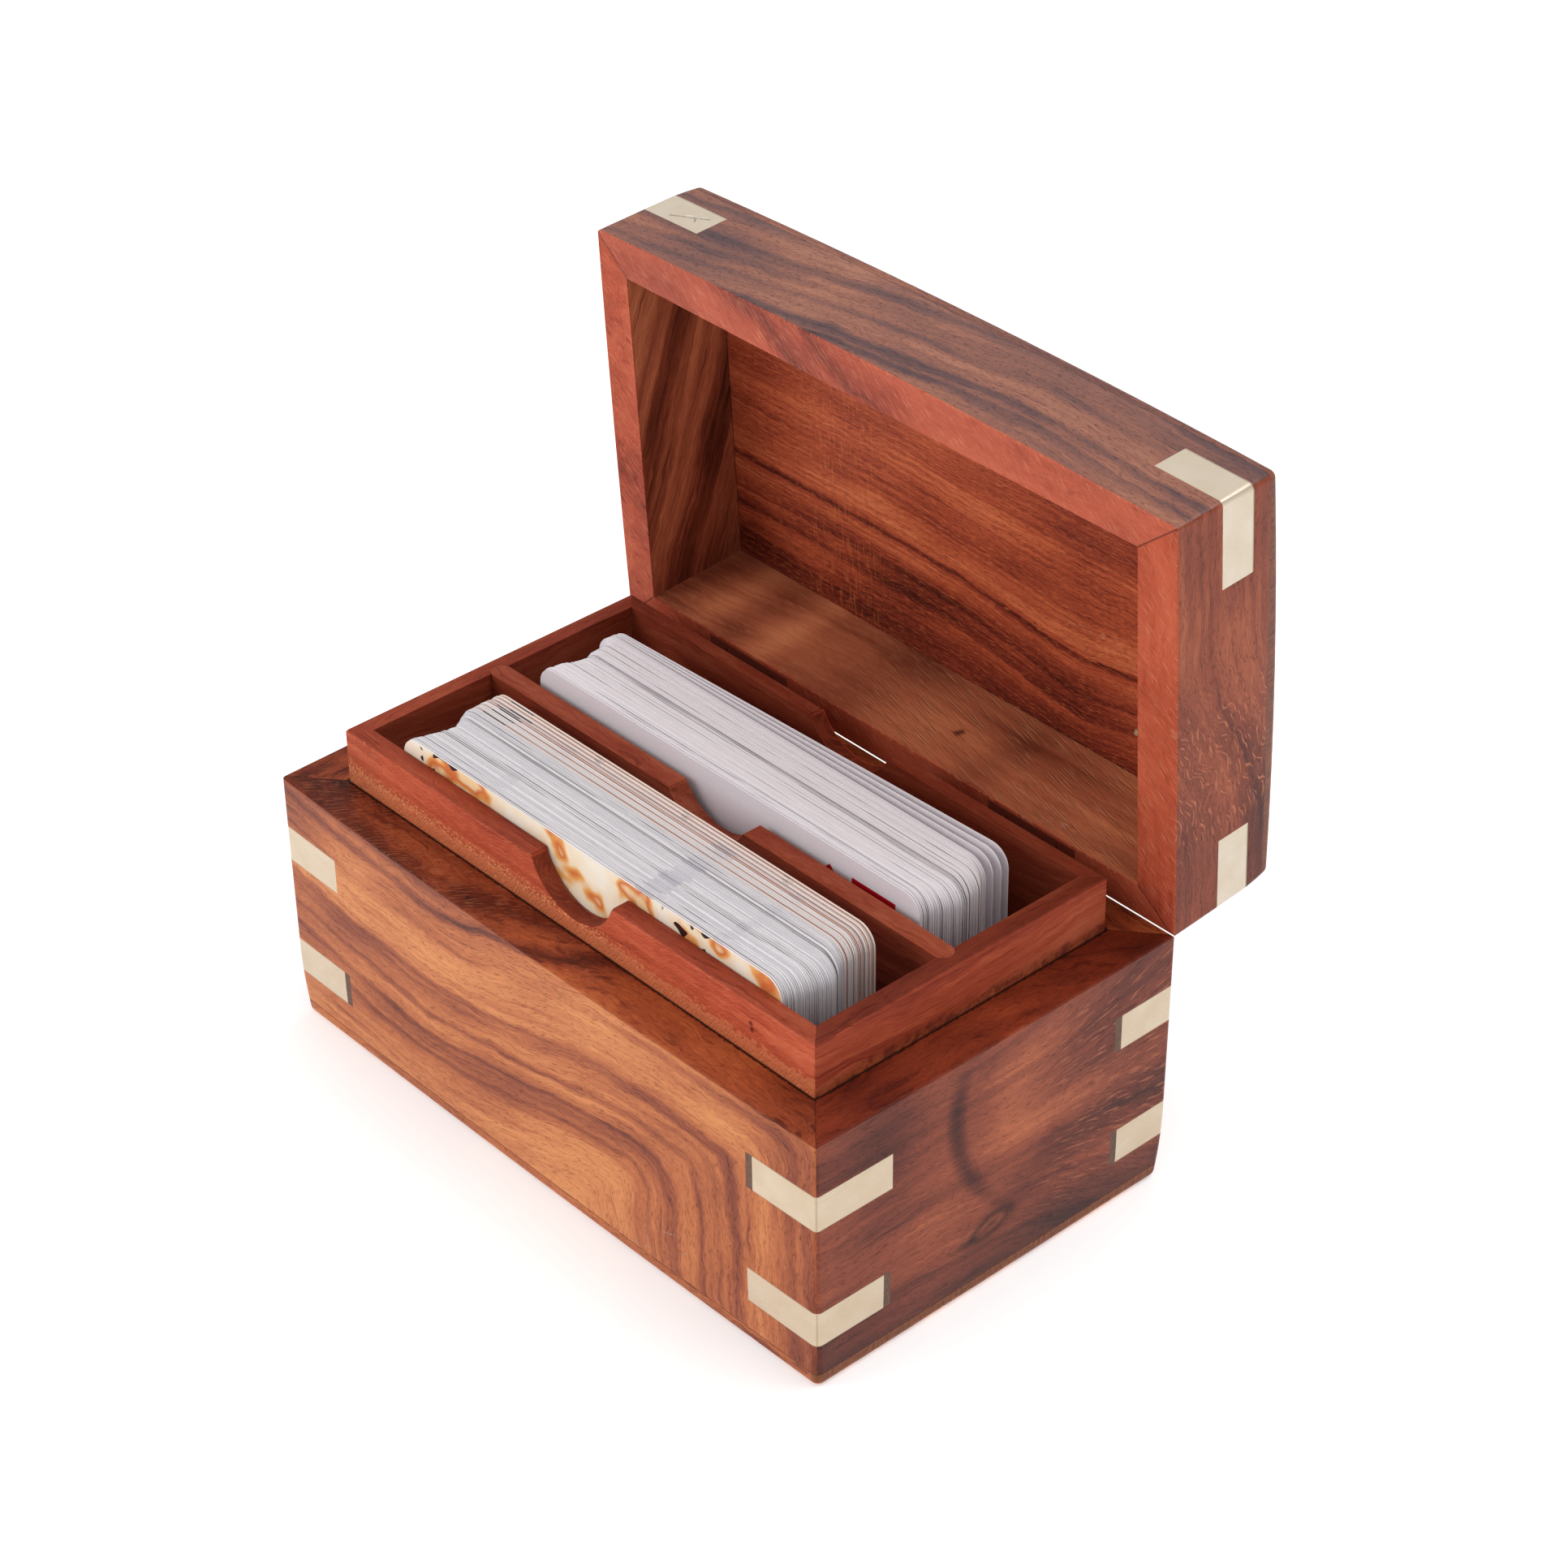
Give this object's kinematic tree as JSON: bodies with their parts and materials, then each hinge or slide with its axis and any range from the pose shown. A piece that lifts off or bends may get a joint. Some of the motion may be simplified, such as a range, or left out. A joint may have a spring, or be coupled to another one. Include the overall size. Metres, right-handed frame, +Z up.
{
  "type": "playing card box",
  "caption": "Hinged wooden box for two decks of playing cards: mitred crowned walls, inner tray proud of the rim, divider, thumb notches, brass corner strips.",
  "frame": {"origin": "middle of the underside of the base", "axes": "+X to the right along the long side, +Y from the front to the hinged back, +Z up"},
  "size_m": [0.1276, 0.0974, 0.1226],
  "materials": {
    "rosewood": "waxed satin",
    "brass_strip": "polished",
    "brass_hinge": "satin",
    "stopping": "matte",
    "cards": "coated"
  },
  "bodies": {
    "base": {"base_back_wall": "rosewood", "base_bottom_panel": "rosewood", "base_front_wall": "rosewood", "base_left_wall": "rosewood", "base_right_wall": "rosewood", "base_strip_fillers": "stopping", "base_strips_lower_back_left": "brass_strip", "base_strips_lower_back_right": "brass_strip", "base_strips_lower_front_left": "brass_strip", "base_strips_lower_front_right": "brass_strip", "base_strips_upper_back_left": "brass_strip", "base_strips_upper_back_right": "brass_strip", "base_strips_upper_front_left": "brass_strip", "base_strips_upper_front_right": "brass_strip", "left_hinge_base_leaf": "brass_hinge", "left_hinge_base_screws": "brass_hinge", "left_hinge_pin": "brass_hinge", "right_hinge_base_leaf": "brass_hinge", "right_hinge_base_screws": "brass_hinge", "right_hinge_pin": "brass_hinge", "tray_back_wall": "rosewood", "tray_divider": "rosewood", "tray_front_wall": "rosewood", "tray_left_wall": "rosewood", "tray_right_wall": "rosewood"},
    "lid": {"left_hinge_lid_leaf": "brass_hinge", "left_hinge_lid_screws": "brass_hinge", "lid_back_wall": "rosewood", "lid_front_wall": "rosewood", "lid_left_wall": "rosewood", "lid_right_wall": "rosewood", "lid_strips_back_left": "brass_strip", "lid_strips_back_right": "brass_strip", "lid_strips_front_left": "brass_strip", "lid_strips_front_right": "brass_strip", "lid_top_panel": "rosewood", "right_hinge_lid_leaf": "brass_hinge", "right_hinge_lid_screws": "brass_hinge"},
    "front_deck": {"front_deck_back_packet": "cards", "front_deck_face_card": "cards", "front_deck_front_packet": "cards", "front_deck_loose_cards": "cards"},
    "back_deck": {"back_deck_back_packet": "cards", "back_deck_face_card": "cards", "back_deck_front_packet": "cards", "back_deck_loose_cards": "cards"}
  },
  "joints": [
    {"name": "lid_hinge", "type": "hinge", "parent": "base", "child": "lid", "pos_m": [0, 0.03662, 0.04725], "axis": [1, 0, 0], "range_deg": [0, 86.7]},
    {"name": "front_deck_lift", "type": "slide", "parent": "base", "child": "front_deck", "axis": [0, 0, 1], "range_m": [0, 0.006]},
    {"name": "back_deck_lift", "type": "slide", "parent": "base", "child": "back_deck", "axis": [0, 0, 1], "range_m": [0, 0.006]}
  ]
}
